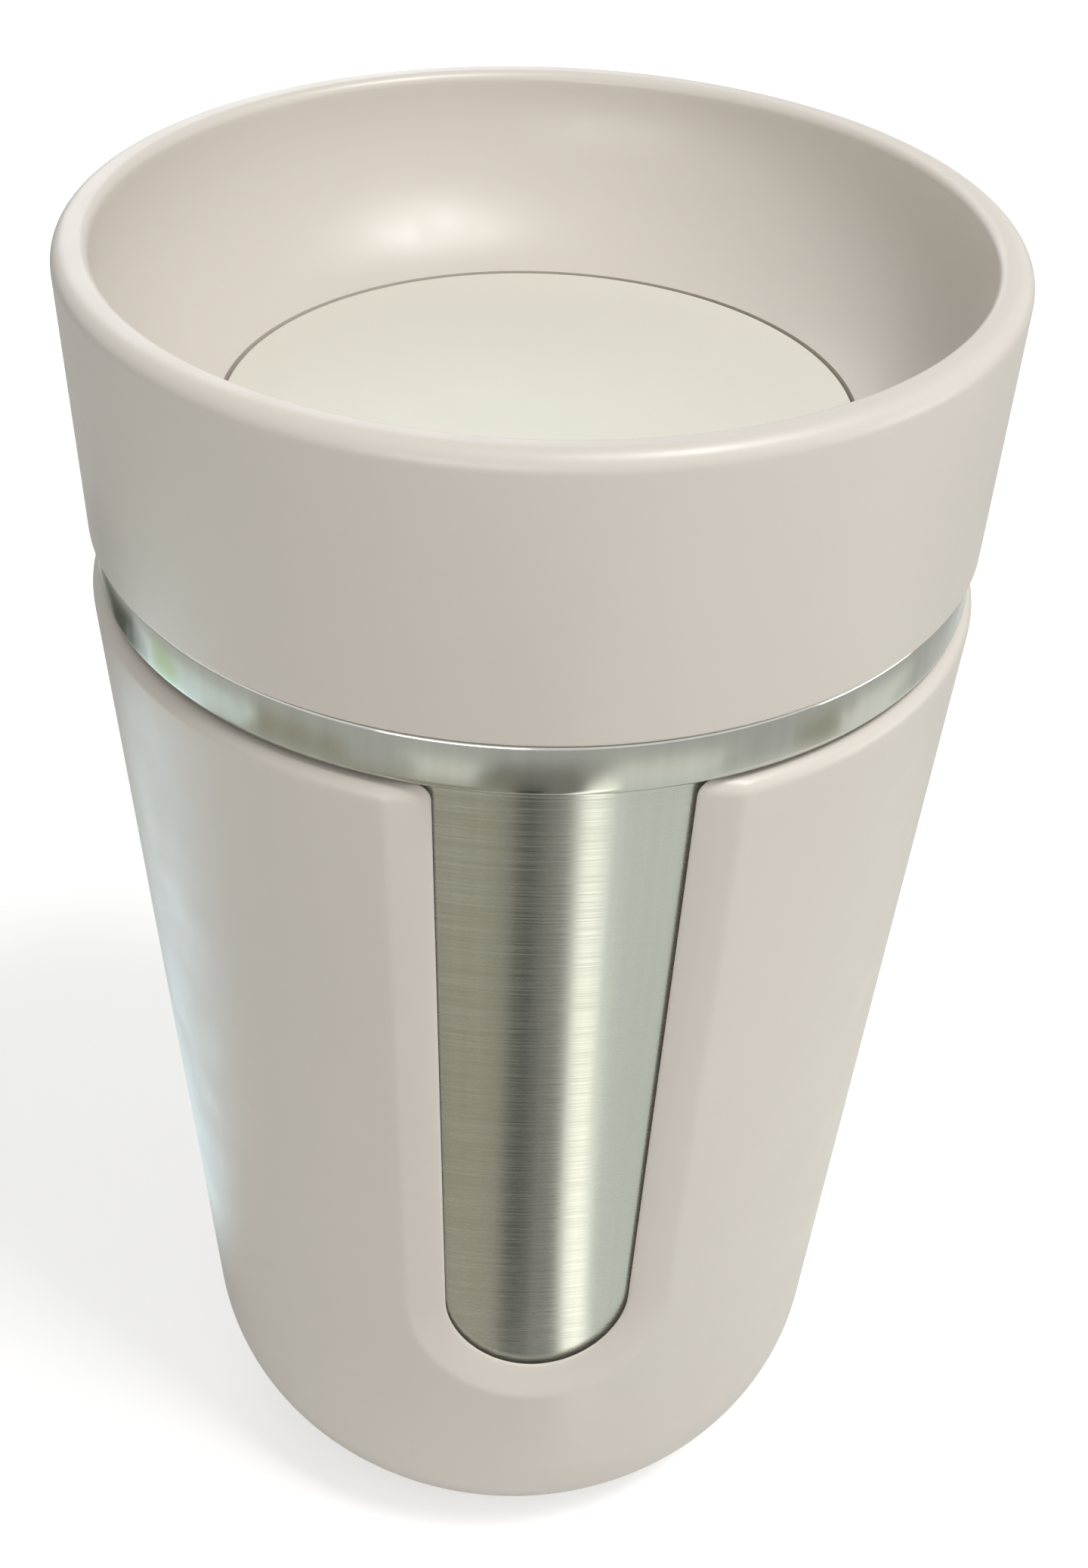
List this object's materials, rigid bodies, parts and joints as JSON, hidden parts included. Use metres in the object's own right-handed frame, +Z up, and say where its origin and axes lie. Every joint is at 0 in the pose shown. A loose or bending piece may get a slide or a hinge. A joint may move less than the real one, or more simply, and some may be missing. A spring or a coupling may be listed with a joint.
{
  "type": "insulated travel mug",
  "caption": "Tapered steel travel mug in a plastic sleeve with a bevelled window, closed by a screw-in lid whose disc is pressed to drink from any side.",
  "frame": {"origin": "middle of the foot ring's underside, on the mug's axis", "axes": "+Z up along the mug's axis, the sleeve's window towards -Y"},
  "size_m": [0.0878, 0.0878, 0.1485],
  "materials": {
    "beige_plastic": "fine matte moulding, pinkish beige",
    "cream_plastic": "satin moulding, cream",
    "inner_plastic": "plain moulding",
    "grey_plastic": "plain moulding, slippery grade",
    "silicone": "soft matte silicone",
    "foot_silicone": "soft matte silicone",
    "outer_steel": "polished collar over a brushed wall",
    "liner_steel": "brushed",
    "spring_steel": "drawn wire",
    "getter_metal": "pressed grey powder",
    "seal_resin": "set resin"
  },
  "bodies": {
    "cup": {"outer_sleeve": "beige_plastic", "foot_ring": "foot_silicone", "flask_outer_wall": "outer_steel", "flask_base": "liner_steel", "flask_liner": "liner_steel", "liner_floor": "liner_steel", "vacuum_seal": "seal_resin", "getter_pellet": "getter_metal"},
    "lid_seal": {"lid_gasket": "silicone"},
    "lid": {"lid_shell": "beige_plastic", "lid_plug": "inner_plastic", "valve_cage": "grey_plastic", "return_spring": "spring_steel"},
    "button": {"button_disc": "cream_plastic", "button_carrier": "inner_plastic", "valve_seal": "silicone", "plunger": "grey_plastic", "rotor_washer": "spring_steel", "end_screw": "spring_steel"},
    "rotor": {"ratchet_rotor": "inner_plastic"}
  },
  "joints": [
    {"name": "lid_rise", "type": "slide", "parent": "cup", "child": "lid_seal", "axis": [0, 0, 1], "range_m": [0, 0.018]},
    {"name": "lid_turn", "type": "hinge", "parent": "lid_seal", "child": "lid", "pos_m": [0, 0, 0.121], "axis": [0, 0, 1], "range_deg": [0, 720]},
    {"name": "button_press", "type": "slide", "parent": "lid", "child": "button", "axis": [0, 0, -1], "range_m": [0, 0.005], "stiffness_N_per_m": 600, "springref_m": -0.008, "deforming": ["return_spring"]},
    {"name": "rotor_turn", "type": "hinge", "parent": "button", "child": "rotor", "pos_m": [0, 0, 0.11], "axis": [0, 0, 1], "range_deg": [0, 45]}
  ],
  "couplings": [
    {"joint": "lid_rise", "follows": "lid_turn", "m_per_rad": 0.0014324},
    {"joint": "rotor_turn", "follows": "button_press", "rad_per_m": 157.08}
  ]
}
